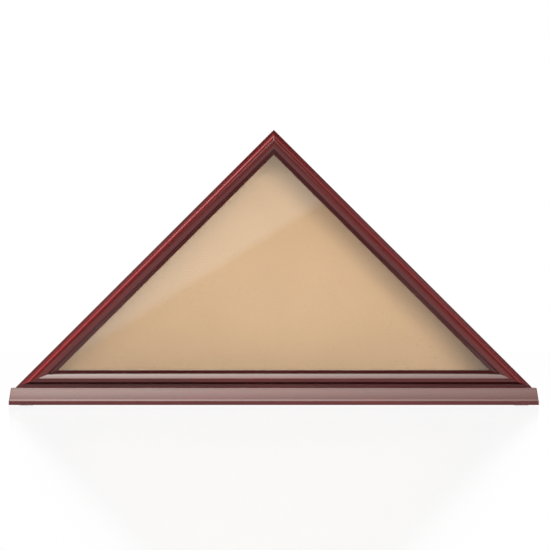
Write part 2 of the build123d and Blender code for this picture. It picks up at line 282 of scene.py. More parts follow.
# ======================================================================================
# Outlines
# ======================================================================================
class Outline:
    """A closed section drawn point by point; soft corners become small arcs."""

    def __init__(self):
        self.points = []

    def to(self, x, y, soft=0.0):
        self.points.append((Vector((x, y)), soft))

    def arc(self, end, bulge, steps):
        """A circular arc to end that swells by bulge to the left of the way there."""
        start = self.points[-1][0]
        end = Vector(end)
        chord = end - start
        half = chord.length / 2
        radius = (half ** 2 + bulge ** 2) / (2 * abs(bulge))
        left = Vector((-chord.y, chord.x)).normalized() * math.copysign(1, bulge)
        centre = start + chord / 2 - left * (radius - abs(bulge))
        turn = 2 * math.asin(min(1.0, half / radius))
        first = math.atan2(*reversed(start - centre))
        way = -math.copysign(1, bulge)
        for step in range(1, steps):
            angle = first + way * turn * step / steps
            self.to(centre.x + radius * math.cos(angle), centre.y + radius * math.sin(angle))
        self.to(end.x, end.y)

    def softened(self):
        """All points, with each soft corner as a small arc between two close supports."""
        made = []
        count = len(self.points)
        for index, (point, soft) in enumerate(self.points):
            if soft == 0.0:
                made.append(point)
                continue
            before = (self.points[index - 1][0] - point)
            after = (self.points[(index + 1) % count][0] - point)
            into, away = before.normalized(), after.normalized()
            half = into.angle(away) / 2
            run = soft / math.tan(half)
            centre = point + (into + away).normalized() * (soft / math.sin(half))
            first = point + into * run
            last = point + away * run
            made.append(first + into * ARRIS_SUPPORT)
            for step in range(ARRIS_STEPS + 1):
                way = (first - centre).slerp(last - centre, step / ARRIS_STEPS)
                made.append(centre + way * soft)
            made.append(last + away * ARRIS_SUPPORT)
        return made


def outline_mesh(name, outline, closed=True):
    """The section as a run of edges, closed or open."""
    points = outline.softened()
    count = len(points)
    mesh = bpy.data.meshes.new(name)
    edges = [(index, (index + 1) % count) for index in range(count if closed else count - 1)]
    mesh.from_pydata([(point.x, point.y, 0) for point in points], edges, [])
    return mesh


def rail_outline():
    """Moulding: flat strip, rounded rise, broad band, low lip and glass rabbet."""
    def at(inwards, depth):
        return inwards, RAIL_BACK - depth

    band_start = FILLET_WIDTH + RISE_WIDTH
    band_end = RAIL_WIDTH - LIP_WIDTH
    crest = band_start + CREST_INSET
    fall = band_end - crest
    radius = (fall ** 2 + BAND_DROP ** 2) / (2 * BAND_DROP)
    rise_foot = FILLET_DEPTH + QUIRK_DEPTH
    rise_top = RAIL_DEPTH - radius + math.sqrt(radius ** 2 - CREST_INSET ** 2)
    rabbet = WALL_THICK + RABBET_LAND

    line = Outline()
    line.to(*at(0, 0), soft=0.2 * MM)
    line.to(*at(0, FILLET_DEPTH), soft=0.45 * MM)
    line.to(*at(FILLET_WIDTH, FILLET_DEPTH), soft=0.15 * MM)
    line.to(*at(FILLET_WIDTH, rise_foot))
    line.arc(at(band_start, rise_top), -RISE_BULGE, 12)
    for step in range(1, BAND_STEPS):
        share = step / BAND_STEPS
        line.to(*at(crest + fall * share, RAIL_DEPTH - BAND_DROP * share ** BAND_CURL))
    line.to(*at(band_end, RAIL_DEPTH - BAND_DROP), soft=0.25 * MM)
    line.to(*at(band_end, LIP_DEPTH), soft=0.3 * MM)
    line.to(*at(RAIL_WIDTH, LIP_DEPTH - LIP_FALL), soft=0.5 * MM)
    line.to(*at(RAIL_WIDTH, GLASS_THICK), soft=0.2 * MM)
    line.to(*at(rabbet, GLASS_THICK))
    line.to(*at(rabbet, 0))
    return line


def wall_outline():
    """Board with a rebated inner back edge."""
    land = WALL_THICK - REBATE_WIDTH
    line = Outline()
    line.to(0, RAIL_BACK, soft=0.3 * MM)
    line.to(0, CASE_BACK, soft=0.8 * MM)
    line.to(land, CASE_BACK, soft=0.4 * MM)
    line.to(land, CASE_BACK - REBATE_DEPTH)
    line.to(WALL_THICK, CASE_BACK - REBATE_DEPTH, soft=0.4 * MM)
    line.to(WALL_THICK, RAIL_BACK)
    return line


def stop_outline():
    """Small square strip behind the glass."""
    far = STOP_HIGH.z - LOWER_LEFT.z
    line = Outline()
    line.to(WALL_THICK, RAIL_BACK)
    line.to(WALL_THICK, RAIL_BACK + STOP_DEPTH, soft=0.3 * MM)
    line.to(far, RAIL_BACK + STOP_DEPTH, soft=0.8 * MM)
    line.to(far, RAIL_BACK, soft=0.3 * MM)
    return line


def plinth_outline():
    """Edge of the plinth as (setback, height): lip, small hollow, leaning face, round top."""
    height = PLINTH_HIGH.z - PLINTH_LOW.z
    foot = PLINTH_LIP_HEIGHT + PLINTH_COVE_HEIGHT
    top_in = PLINTH_COVE_WIDTH + PLINTH_FACE_LEAN
    line = Outline()
    line.to(top_in + PLINTH_TOP_ROUND, 0)
    line.to(0, 0, soft=0.4 * MM)
    line.to(0, PLINTH_LIP_HEIGHT, soft=0.35 * MM)
    line.arc((PLINTH_COVE_WIDTH, foot), -PLINTH_COVE_HOLLOW, 8)
    line.arc((top_in, height - PLINTH_TOP_ROUND), PLINTH_FACE_BULGE, 14)
    line.arc((top_in + PLINTH_TOP_ROUND, height), PLINTH_TOP_ROUND * 0.3, 8)
    return line


# ======================================================================================
# Mitred bars, by Geometry Nodes
# ======================================================================================
def new_tree(name, inputs):
    """A geometry tree with named inputs; returns its graph and the inputs as wires."""
    tree = bpy.data.node_groups.new(name, "GeometryNodeTree")
    tree.interface.new_socket("Geometry", in_out="INPUT", socket_type="NodeSocketGeometry")
    for label, kind in inputs.items():
        tree.interface.new_socket(label, in_out="INPUT", socket_type="NodeSocket" + kind)
    tree.interface.new_socket("Geometry", in_out="OUTPUT", socket_type="NodeSocketGeometry")
    graph = Graph(tree)
    entry = graph.node("NodeGroupInput")
    wires = {label: graph.other(entry, label) for label in ["Geometry", *inputs]}
    return graph, wires


def end_tree(graph, geometry, material):
    """Realize Instances and Set Material close every tree."""
    plain = graph.node("GeometryNodeRealizeInstances", None, {"Geometry": geometry})
    sockets = {"Geometry": plain, "Material": material}
    painted = graph.node("GeometryNodeSetMaterial", None, sockets)
    graph.node("NodeGroupOutput", None, {"Geometry": painted})
    return graph.tree


def mitred_bar_tree():
    """Runs a section along a side and turns it softly into both mitres.

    A point of the section lies u inwards from the outer edge. Each ring of the bar is
    on the straight run, or turned part of the way round one of its two corners.
    The straight run's first and last rings stay close beside the corners, so that the
    rounding doesn't shade the flat faces.
    """
    g, w = new_tree("mitred_bar", {
        "Length": "Float", "Rings": "Int", "Corner Rings": "Int",
        "First Slope": "Float", "First Turn": "Float", "First Soft": "Float",
        "Last Slope": "Float", "Last Turn": "Float", "Last Soft": "Float",
        "Corner": "Vector", "Along": "Vector", "Inward": "Vector",
        "Grain Start": "Vector", "Material": "Material",
    })

    def scaled(vector, number):
        sockets = {0: vector, "Scale": number}
        return g.node("ShaderNodeVectorMath", {"operation": "SCALE"}, sockets)

    def added(first, second):
        return g.node("ShaderNodeVectorMath", {"operation": "ADD"}, {0: first, 1: second})

    position = g.node("GeometryNodeInputPosition")
    x = g.node("ShaderNodeSeparateXYZ", None, {0: position}, out="X")
    section = g.node("GeometryNodeMeshToCurve", None, {"Mesh": w["Geometry"]})
    section = g.stored(section, "u", x)
    section = g.stored(section, "depth", g.other(x, "Y"))

    path = g.node("GeometryNodeCurvePrimitiveLine", None, {"End": (0, 0, 1)})
    path = g.node("GeometryNodeResampleCurve", None, {"Curve": path, "Count": w["Rings"]})
    path = g.stored(path, "ring", g.node("GeometryNodeInputIndex"))
    sockets = {"Curve": path, "Profile Curve": section, "Fill Caps": True}
    bar = g.node("GeometryNodeCurveToMesh", None, sockets)

    u, depth, ring = g.named("u"), g.named("depth"), g.named("ring")
    last = w["Rings"] - 1
    bend = w["Corner Rings"]
    share = g.math("DIVIDE", ring - bend - 1, last - 2 * bend - 2, clamp=True)
    started = g.math("ADD", ring - bend, 0.0, clamp=True)
    ended = g.math("ADD", ring - last + bend + 1, 0.0, clamp=True)
    first_angle = w["First Turn"] * g.math("DIVIDE", bend - ring, bend, clamp=True)
    last_angle = w["Last Turn"] * g.math("DIVIDE", ring - last + bend, bend, clamp=True)

    begin = w["First Slope"] * (u + w["First Soft"])
    end = w["Length"] - w["Last Slope"] * (u + w["Last Soft"])
    along = begin + (end - begin - 2 * SUPPORT) * share + SUPPORT * (started + ended)
    along = along - w["First Soft"] * g.math("SINE", first_angle)
    along = along + w["Last Soft"] * g.math("SINE", last_angle)
    across = u + w["First Soft"] * (1 - g.math("COSINE", first_angle))
    across = across + w["Last Soft"] * (1 - g.math("COSINE", last_angle))

    place = added(w["Corner"], scaled(w["Along"], along))
    place = added(place, scaled(w["Inward"], across))
    place = added(place, g.node("ShaderNodeCombineXYZ", None, {"Y": depth}))
    bar = g.node("GeometryNodeSetPosition", None, {"Geometry": bar, "Position": place})
    grain = g.node("ShaderNodeCombineXYZ", None, {"X": along, "Y": across, "Z": depth})
    bar = g.stored(bar, "grain", added(grain, w["Grain Start"]), "FLOAT_VECTOR")
    bar = g.node("GeometryNodeSetShadeSmooth", None, {"Geometry": bar})
    return end_tree(g, bar, w["Material"])


class Side:
    """One side of the triangle: where it starts, which way it runs, and its two mitres."""

    def __init__(self, name, first, last, first_angle, last_angle, soft):
        self.name = name
        self.first = first
        self.length = (last - first).length
        self.along = (last - first).normalized()
        self.inward = BACKWARDS.cross(self.along)
        self.angles = first_angle, last_angle
        self.soft = soft


BASE_ANGLE = math.atan2(APEX.z - LOWER_LEFT.z, APEX.x - LOWER_LEFT.x)
APEX_ANGLE = math.pi - 2 * BASE_ANGLE
SIDES = [
    Side("left", LOWER_LEFT, APEX, BASE_ANGLE, APEX_ANGLE, (BASE_SOFT, APEX_SOFT)),
    Side("right", APEX, LOWER_RIGHT, APEX_ANGLE, BASE_ANGLE, (APEX_SOFT, BASE_SOFT)),
    Side("bottom", LOWER_RIGHT, LOWER_LEFT, BASE_ANGLE, BASE_ANGLE, (BASE_SOFT, BASE_SOFT)),
]


def grown(name, mesh, tree, values):
    """Runs a geometry tree on a mesh and keeps the result as a plain mesh."""
    holder = bpy.data.objects.new(name + "_holder", mesh)
    bpy.context.scene.collection.objects.link(holder)
    modifier = holder.modifiers.new(name, "NODES")
    modifier.node_group = tree
    for item in tree.interface.items_tree:
        if item.item_type == "SOCKET" and item.in_out == "INPUT" and item.name in values:
            modifier[item.identifier] = values[item.name]
    bpy.context.view_layer.update()
    evaluated = holder.evaluated_get(bpy.context.evaluated_depsgraph_get())
    made = bpy.data.meshes.new_from_object(evaluated)
    made.name = name
    holder.modifiers.clear()
    bpy.data.objects.remove(holder)
    return placed(name, made)


def placed(name, mesh):
    """A finished piece at the origin, with its faces pointing outwards."""
    shape = bmesh.new()
    shape.from_mesh(mesh)
    bmesh.ops.recalc_face_normals(shape, faces=shape.faces)
    shape.to_mesh(mesh)
    shape.free()
    piece = bpy.data.objects.new(name, mesh)
    bpy.context.scene.collection.objects.link(piece)
    return piece


def seated(piece, node, body="case"):
    """The piece rides on its body and stands for its CAD node."""
    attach(piece, body)
    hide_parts(node)


def mitred_bars(prefix, node_prefix, outline, tree, finishes):
    """The three bars of one kind, one to a side, each in its own side's finish."""
    for number, side in enumerate(SIDES):
        first, last = side.angles
        first_soft, last_soft = side.soft
        values = {
            "Length": side.length, "Rings": BAR_RINGS, "Corner Rings": CORNER_STEPS,
            "First Slope": 1 / math.tan(first / 2), "First Turn": math.pi / 2 - first / 2,
            "First Soft": first_soft,
            "Last Slope": 1 / math.tan(last / 2), "Last Turn": math.pi / 2 - last / 2,
            "Last Soft": last_soft,
            "Corner": side.first, "Along": side.along, "Inward": side.inward,
            "Grain Start": (1.7 * number + len(prefix), 0.13 * number, 0.0),
            "Material": finishes[side.name],
        }
        name = prefix + side.name
        piece = grown(name, outline_mesh(name, outline), tree, values)
        seated(piece, node_prefix + side.name)


# ======================================================================================
# Turned fittings, by Geometry Nodes
# ======================================================================================
def turned_tree(slotted):
    """Turns a section about its axis, may pull it out long, and sets it on points.

    The section's x is the radius and its y the height. Stretch moves the half of the
    turned shape that lies outside Stretch From along x, which makes a disc with a hole
    into a long plate with round ends. Facing turns the fitting's height into its way.
    """
    inputs = {
        "Steps": "Int", "Stretch": "Float", "Stretch From": "Float",
        "Facing": "Vector", "Seed": "Int", "Spin": "Float",
        "Points": "Object", "Material": "Material",
    }
    if slotted:
        inputs.update({"Slot Width": "Float", "Slot Length": "Float", "Slot Height": "Float"})
    g, w = new_tree("turned_slotted" if slotted else "turned", inputs)

    x = g.node("ShaderNodeSeparateXYZ", None, {0: g.node("GeometryNodeInputPosition")}, out="X")
    section = g.node("GeometryNodeMeshToCurve", None, {"Mesh": w["Geometry"]})
    section = g.stored(section, "reach", x)
    section = g.stored(section, "height", g.other(x, "Y"))
    round_path = g.node("GeometryNodeCurvePrimitiveCircle", None, {"Resolution": w["Steps"]})
    round_path = g.stored(round_path, "step", g.node("GeometryNodeInputIndex"))
    shape = g.node(
        "GeometryNodeCurveToMesh", None, {"Curve": round_path, "Profile Curve": section}
    )

    radius = g.named("reach")
    angle = math.tau * (g.named("step") + 0.5) / w["Steps"]
    cosine = g.math("COSINE", angle)
    outer = g.math("GREATER_THAN", radius, w["Stretch From"])
    ahead = g.math("GREATER_THAN", cosine, 0.0)
    turned = g.node("ShaderNodeCombineXYZ", None, {
        "X": radius * cosine + w["Stretch"] * outer * ahead,
        "Y": radius * g.math("SINE", angle),
        "Z": g.named("height"),
    })
    shape = g.node("GeometryNodeSetPosition", None, {"Geometry": shape, "Position": turned})
    sockets = {"Geometry": shape, "Distance": MERGE_GAP}
    shape = g.node("GeometryNodeMergeByDistance", None, sockets)
    if slotted:
        size = g.node("ShaderNodeCombineXYZ", None, {
            "X": w["Slot Length"], "Y": w["Slot Width"], "Z": w["Slot Width"],
        })
        cutter = g.node("GeometryNodeMeshCube", None, {"Size": size})
        lift = g.node("ShaderNodeCombineXYZ", None, {"Z": w["Slot Height"]})
        cutter = g.node("GeometryNodeTransform", None, {"Geometry": cutter, "Translation": lift})
        cut = {"Mesh 1": shape, "Mesh 2": cutter}
        shape = g.node("GeometryNodeMeshBoolean", {"operation": "DIFFERENCE"}, cut)

    shape = g.node("GeometryNodeSetShadeSmooth", None, {"Geometry": shape})
    bend = g.node("GeometryNodeInputMeshEdgeAngle")
    sharp = g.math("GREATER_THAN", bend, SHARP_BEND)
    sockets = {"Geometry": shape, "Selection": sharp, "Shade Smooth": False}
    shape = g.node("GeometryNodeSetShadeSmooth", {"domain": "EDGE"}, sockets)

    spots = g.node("GeometryNodeObjectInfo", None, {"Object": w["Points"]}, out="Geometry")
    set_on = g.node("GeometryNodeInstanceOnPoints", None, {
        "Points": spots, "Instance": shape, "Rotation": w["Facing"],
    })
    spin = g.node("FunctionNodeRandomValue", {"data_type": "FLOAT"}, {
        2: 0.0, 3: w["Spin"], "Seed": w["Seed"],
    }, out=1)
    own = g.node("ShaderNodeCombineXYZ", None, {"Z": spin})
    set_on = g.node("GeometryNodeRotateInstances", None, {"Instances": set_on, "Rotation": own})
    return end_tree(g, set_on, w["Material"])


def bored_tree():
    """Bores a row of round holes into a piece."""
    g, w = new_tree("bored", {
        "Count": "Int", "First": "Vector", "Step": "Vector", "Radius": "Float",
        "Depth": "Float", "Facets": "Int", "Material": "Material",
    })
    row = g.node("GeometryNodeMeshLine", None, {
        "Count": w["Count"], "Start Location": w["First"], "Offset": w["Step"],
    })
    sockets = {"Vertices": w["Facets"], "Radius": w["Radius"], "Depth": 2 * w["Depth"]}
    bore = g.node("GeometryNodeMeshCylinder", None, sockets)
    bores = g.node("GeometryNodeInstanceOnPoints", None, {"Points": row, "Instance": bore})
    bores = g.node("GeometryNodeRealizeInstances", None, {"Geometry": bores})
    cut = {"Mesh 1": w["Geometry"], "Mesh 2": bores}
    bored = g.node("GeometryNodeMeshBoolean", {"operation": "DIFFERENCE"}, cut)
    return end_tree(g, bored, w["Material"])


def set_of(name, outline, spots, facing, material, tree, closed=True, **sizes):
    """Turned fittings of one kind on a list of places, as one plain mesh."""
    points = bpy.data.meshes.new(name + "_places")
    points.from_pydata([tuple(spot) for spot in spots], [], [])
    holder = bpy.data.objects.new(name + "_places", points)
    values = {
        "Steps": TURNED_STEPS, "Stretch": 0.0, "Stretch From": 0.0, "Seed": 7, "Spin": 0.0,
        "Facing": tuple(facing.to_euler()), "Points": holder, "Material": material,
    }
    values.update({key.replace("_", " "): value for key, value in sizes.items()})
    piece = grown(name, outline_mesh(name, outline, closed), tree, values)
    bpy.data.objects.remove(holder)
    return piece


def facing_of(way, lengthways):
    """Turns a fitting's height to way and its x to lengthways."""
    across = way.cross(lengthways)
    return Matrix((lengthways, across, way)).transposed()


def button_outline(thickness):
    """Cross-section of a turn button's plate, from its bore to its rim."""
    rim = BUTTON_WIDTH / 2
    line = Outline()
    line.to(BUTTON_BORE, 0, soft=0.1 * MM)
    line.to(BUTTON_BORE, thickness, soft=0.12 * MM)
    line.to(rim, thickness, soft=0.3 * MM)
    line.to(rim, 0, soft=0.15 * MM)
    return line


def turn_buttons(tree, material):
    """Each button on its own body, at its pivot, with its tail where the record lays it."""
    pivots = []
    for joint in frame["record"]["behaviour"]["joints"]:
        if joint["type"] != "hinge":
            continue
        node = joint["child"]
        low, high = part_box(node)
        pivot = Vector(joint["pos_m"])
        tail = (low + high) / 2 - pivot
        tail.y = 0
        pivot.y = low.y
        facing = facing_of(BACKWARDS, tail.normalized())
        piece = set_of(
            node + "_plate", button_outline(high.y - low.y), [pivot], facing, material, tree,
            Steps=2 * TURNED_STEPS, Stretch=BUTTON_LENGTH - BUTTON_WIDTH,
            Stretch_From=(BUTTON_BORE + BUTTON_WIDTH / 2) / 2,
        )
        seated(piece, node, body=node)
        pivot.y = CASE_BACK
        pivots.append(pivot)
    return pivots


def pivot_screws(tree, pivots, material):
    """Round slotted heads over the buttons, each slot turned its own way."""
    under = BUTTON_THICK + 2 * BUTTON_PLAY
    edge = under + PIVOT_HEAD_HEIGHT / 2
    rise = PIVOT_HEAD_HEIGHT / 2
    radius = (PIVOT_HEAD ** 2 + rise ** 2) / (2 * rise)
    dome = radius - math.sqrt(radius ** 2 - (PIVOT_HEAD ** 2 + rise ** 2) / 4)
    line = Outline()
    line.to(0, -PIVOT_GRIP)
    line.to(PIVOT_SHANK * 0.6, -PIVOT_GRIP)
    line.to(PIVOT_SHANK, -PIVOT_GRIP * 0.8)
    line.to(PIVOT_SHANK, under)
    line.to(PIVOT_HEAD, under, soft=0.1 * MM)
    line.to(PIVOT_HEAD, edge, soft=0.25 * MM)
    line.arc((0, edge + rise), -dome, 6)
    piece = set_of(
        "turn_button_screw_set", line, pivots, facing_of(BACKWARDS, Vector((1, 0, 0))),
        material, tree, closed=False, Spin=math.pi, Slot_Width=PIVOT_SLOT,
        Slot_Length=3 * PIVOT_HEAD, Slot_Height=edge + rise,
    )
    seated(piece, "turn_button_screws")


def plinth_screw_spots():
    """Where the plinth's screws stand, on its underside."""
    y = (RAIL_BACK + CASE_BACK) / 2
    return [Vector((step * PLINTH_SCREW_SPACING, y, PLINTH_LOW.z)) for step in (-1, 0, 1)]


def plinth_screws(tree, material):
    """Countersunk slotted screws, sunk in the underside and driven up into the board."""
    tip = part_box("plinth_screws")[1].z - PLINTH_LOW.z
    line = Outline()
    line.to(0, -tip)
    line.to(PLINTH_SCREW_SHANK, -tip + 2 * PLINTH_SCREW_SHANK)
    line.to(PLINTH_SCREW_SHANK, -PLINTH_SCREW_SUNK - PLINTH_SCREW_CONE)
    line.to(PLINTH_SCREW_HEAD - SEAM, -PLINTH_SCREW_SUNK, soft=0.1 * MM)
    line.to(0, -PLINTH_SCREW_SUNK)
    downwards = facing_of(Vector((0, 0, -1)), Vector((1, 0, 0)))
    piece = set_of(
        "plinth_screw_set", line, plinth_screw_spots(), downwards,
        material, tree, closed=False, Seed=3, Spin=math.pi, Slot_Width=PLINTH_SCREW_SUNK,
        Slot_Length=3 * PLINTH_SCREW_HEAD, Slot_Height=-PLINTH_SCREW_SUNK,
    )
    seated(piece, "plinth_screws")


def felt_pads(tree, material):
    """Four pressed discs under the plinth's corners."""
    height = PAD_HIGH.z - PAD_LOW.z
    line = Outline()
    line.to(0, 0)
    line.to(PAD_RADIUS, 0, soft=0.2 * MM)
    line.to(PAD_RADIUS - PAD_TAPER, height, soft=0.3 * MM)
    line.to(0, height)
    spots = [
        Vector((x, y, PAD_LOW.z))
        for x in (PAD_LOW.x + PAD_RADIUS, PAD_HIGH.x - PAD_RADIUS)
        for y in (PAD_LOW.y + PAD_RADIUS, PAD_HIGH.y - PAD_RADIUS)
    ]
    piece = set_of("felt_pad_set", line, spots, Matrix.Identity(3), material, tree, closed=False)
    seated(piece, "felt_pads")


# ======================================================================================
# Other pieces
# ======================================================================================
def stacked(name, rings, material):
    """A closed piece through rings of equal count, capped at both ends."""
    shape = bmesh.new()
    rows = [[shape.verts.new(point) for point in ring] for ring in rings]
    count = len(rows[0])
    for lower, upper in zip(rows, rows[1:]):
        for index in range(count):
            after = (index + 1) % count
            shape.faces.new((lower[index], lower[after], upper[after], upper[index]))
    shape.faces.new(list(reversed(rows[0])))
    shape.faces.new(rows[-1])
    for face in shape.faces:
        face.smooth = len(face.verts) == 4
    mesh = bpy.data.meshes.new(name)
    shape.to_mesh(mesh)
    shape.free()
    mesh.materials.append(material)
    return placed(name, mesh)


def plinth_piece(material):
    """Plinth: the moulded edge runs round the front and both ends; the back is flat."""
    soft = PLINTH_CORNER
    rings = []
    for point in plinth_outline().softened():
        setback, height = point.x, PLINTH_LOW.z + point.y
        left, right = PLINTH_LOW.x + setback, PLINTH_HIGH.x - setback
        front, back = PLINTH_LOW.y + setback, PLINTH_HIGH.y
        ring = [(right, back, height), (right, front + soft + SUPPORT, height)]
        for centre_x, start in ((right - soft, 0.0), (left + soft, -math.pi / 2)):
            for step in range(CORNER_STEPS + 1):
                angle = start - math.pi / 2 * step / CORNER_STEPS
                x = centre_x + soft * math.cos(angle)
                ring.append((x, front + soft + soft * math.sin(angle), height))
            if start == 0.0:
                ring.append((right - soft - SUPPORT, front, height))
                ring.append((left + soft + SUPPORT, front, height))
        ring.append((left, front + soft + SUPPORT, height))
        ring.append((left, back, height))
        rings.append(ring)
    blank = stacked("plinth_blank", rings, material)
    first, second = plinth_screw_spots()[:2]
    values = {
        "Count": 3, "First": first, "Step": second - first, "Radius": PLINTH_SCREW_HEAD,
        "Depth": PLINTH_SCREW_SUNK, "Facets": BORE_FACETS, "Material": material,
    }
    board = grown("plinth_board", blank.data, bored_tree(), values)
    bpy.data.objects.remove(blank)
    return board


def inset_corners(inset):
    """The triangle's corners with each side moved in by inset."""
    moved = []
    for corner, angle in ((LOWER_LEFT, BASE_ANGLE), (APEX, APEX_ANGLE), (LOWER_RIGHT, BASE_ANGLE)):
        centre = Vector((0, 0, LOWER_LEFT.z + LOWER_RIGHT.x * math.tan(BASE_ANGLE / 2)))
        way = (centre - corner).normalized()
        moved.append(corner + way * (inset / math.sin(angle / 2)))
    return moved


def triangular_sheet(name, inset, y_front, y_back, edge, material):
    """A flat triangular sheet with its long edges lightly taken off."""
    rings = []
    for extra, y in ((edge, y_front), (0, y_front + edge), (0, y_back - edge), (edge, y_back)):
        corners = inset_corners(inset + extra)
        rings.append([(corner.x, y, corner.z) for corner in corners])
    piece = stacked(name, rings, material)
    for face in piece.data.polygons:
        face.use_smooth = False
    return piece


# ======================================================================================
# Finishes
# ======================================================================================
DEEP_STAIN = (0.058, 0.0036, 0.0032)
RED_STAIN = (0.084, 0.0056, 0.0046)
# Dark figure of the wood; the same dark also serves as painted shade beside the moulding's lip.
DARK_FIGURE_AND_SHADE = (0.030, 0.0018, 0.0017)
PORE = (0.014, 0.0011, 0.0011)
# Painted light and shade on the moulding's rounded rise: bright red where it is lit, near black
# where it lies in shade.
PAINTED_LIT_RISE = (0.26, 0.015, 0.018)
PAINTED_SHADED_RISE = (0.016, 0.0010, 0.0010)
TAN_BOARD = (0.575, 0.348, 0.182)
PALE_BOARD = (0.610, 0.372, 0.198)
BOARD_FIBRE = (0.42, 0.27, 0.15)
BOARD_SPECK = (0.36, 0.21, 0.11)
LATE_WOOD = (0.42, 0.25, 0.12)
EARLY_WOOD = (0.60, 0.41, 0.22)
FELT_SHADE = (0.62, 0.585, 0.535)
FELT_FLUFF = (0.80, 0.775, 0.73)
BRIGHT_ZINC = (0.60, 0.60, 0.57)
YELLOW_ZINC = (0.66, 0.62, 0.52)
BARE_STEEL = (0.45, 0.45, 0.45)


def deeper(colour, share):
    """A colour made darker, or lighter where share is above 1."""
    return tuple(channel * share for channel in colour)


def lacquered_wood(name, attribute, tone_scale=1.0, painted_rise_tone=None, painted_rise_share=0.0):
    """Deep cherry-mahogany stain under clear gloss lacquer.

    The stain's tone is scaled; each side of the moulding gets its own scale, painting how lit it
    is.
    On a moulding the rise is painted lit or shaded, and painted shade darkens the band by the lip.
    """
    f = Finish(name)
    place = f.place(attribute)
    streaks = f.noise(f.stretched(place, (9, 260, 260)), 1.0, 4.0, 0.55, 0.4)
    figure = f.noise(f.stretched(place, (2.2, 26, 26), (3, 1, 2)), 1.0, 3.0, 0.5, 1.2)
    pores = f.noise(f.stretched(place, (45, 1500, 1500)), 1.0, 2.0, 0.6)
    streak = f.ramp(streaks, (0.34, 0.0), (0.66, 1.0))
    pore = f.ramp(pores, (0.30, 1.0), (0.42, 0.0))
    tone = f.mix(streak, deeper(DEEP_STAIN, tone_scale), deeper(RED_STAIN, tone_scale))
    tone = f.mix(0.5 * f.ramp(figure, (0.3, 0.0), (0.75, 1.0)), tone, deeper(DARK_FIGURE_AND_SHADE, tone_scale))
    tone = f.mix(0.4 * pore, tone, PORE)
    if painted_rise_tone:
        u = f.value("u") / RAIL_WIDTH
        # Painted light and shade: the rounded rise is painted bright red on the lit sides and near
        # black on the bottom side, where it lies in shade.
        rise = f.ramp(u, (0.12, 0.0), (0.20, 1.0), (0.29, 1.0), (0.38, 0.0))
        # Painted shade: the band beside the low lip is darkened, standing in for shade there.
        lip_shade = f.ramp(u, (0.70, 0.0), (0.79, 1.0), (0.88, 0.8), (0.97, 1.0))
        tone = f.mix(painted_rise_share * rise, tone, painted_rise_tone)
        tone = f.mix(0.8 * lip_shade, tone, DARK_FIGURE_AND_SHADE)
    film = f.bump(f.noise(f.place(), 420.0, 2.0, 0.5), 0.00003, 0.2)
    shader = f.surface(
        Base_Color=tone,
        Roughness=0.085 + 0.03 * streak,
        Normal=f.bump(pores, 0.00002, 0.3, under=film),
        IOR=1.5,
    )
    return f.finish(shader)


def fibreboard(name):
    """Smooth pale fibreboard with fine specks."""
    f = Finish(name)
    place = f.place()
    cloud = f.noise(place, 9.0, 3.0, 0.5)
    fibre = f.noise(f.stretched(place, (900, 900, 420)), 1.0, 3.0, 0.6, 0.6)
    speck = f.noise(place, 360.0, 2.0, 0.5)
    tone = f.mix(f.ramp(cloud, (0.3, 0.0), (0.7, 1.0)), TAN_BOARD, PALE_BOARD)
    tone = f.mix(f.ramp(fibre, (0.60, 0.0), (0.78, 0.35)), tone, BOARD_FIBRE)
    tone = f.mix(f.ramp(speck, (0.61, 0.0), (0.72, 0.5)), tone, BOARD_SPECK)
    shader = f.surface(
        Base_Color=tone,
        Roughness=0.62 + 0.12 * fibre,
        Normal=f.bump(fibre, 0.00008, 0.4),
        Specular_IOR_Level=0.3,
    )
    return f.finish(shader)


def softwood(name, attribute):
    """Unfinished pale strip wood."""
    f = Finish(name)
    place = f.place(attribute)
    rings = f.noise(f.stretched(place, (6, 300, 300)), 1.0, 3.0, 0.5, 0.8)
    tone = f.mix(f.ramp(rings, (0.35, 0.0), (0.65, 1.0)), LATE_WOOD, EARLY_WOOD)
    shader = f.surface(
        Base_Color=tone,
        Roughness=0.6 + 0.2 * rings,
        Normal=f.bump(rings, 0.00006, 0.5),
    )
    return f.finish(shader)


def float_glass(name):
    """Clear glass that lets lamps through to the board behind it."""
    f = Finish(name)
    glass = f.surface(
        Base_Color=(0.97, 0.985, 0.975, 1.0),
        Roughness=0.0,
        IOR=1.5,
        Transmission_Weight=1.0,
    )
    clear = f.node("ShaderNodeBsdfTransparent", None, {"Color": (0.95, 0.965, 0.955, 1.0)})
    shadow = f.node("ShaderNodeLightPath", out="Is Shadow Ray")
    through = f.math("MAXIMUM", shadow, f.other(shadow, "Is Diffuse Ray"))
    return f.finish(f.node("ShaderNodeMixShader", None, {0: through, 1: glass, 2: clear}))


def steel(name, tone):
    """Plated or bare steel with a faint cloudiness and fine scratches."""
    f = Finish(name)
    place = f.place()
    cloud = f.noise(place, 300.0, 3.0, 0.55)
    scratch = f.noise(f.stretched(place, (2600, 400, 400)), 1.0, 2.0, 0.5)
    colour = f.mix(f.ramp(cloud, (0.35, 0.0), (0.7, 1.0)), deeper(tone, 0.7), tone)
    shader = f.surface(
        Base_Color=colour,
        Metallic=1.0,
        Roughness=0.28 + 0.2 * cloud,
        Normal=f.bump(scratch, 0.00001, 0.4),
    )
    return f.finish(shader)


def felt(name):
    """Pressed pale felt."""
    f = Finish(name)
    place = f.place()
    fluff = f.noise(place, 1400.0, 4.0, 0.7)
    tone = f.mix(f.ramp(fluff, (0.35, 0.0), (0.7, 1.0)), FELT_SHADE, FELT_FLUFF)
    shader = f.surface(Base_Color=tone, Roughness=0.95, Normal=f.bump(fluff, 0.0003, 0.8))
    return f.finish(shader)


# ======================================================================================
# Making
# ======================================================================================
BAR_TREE = mitred_bar_tree()
PLAIN_TREE = turned_tree(slotted=False)
SLOTTED_TREE = turned_tree(slotted=True)
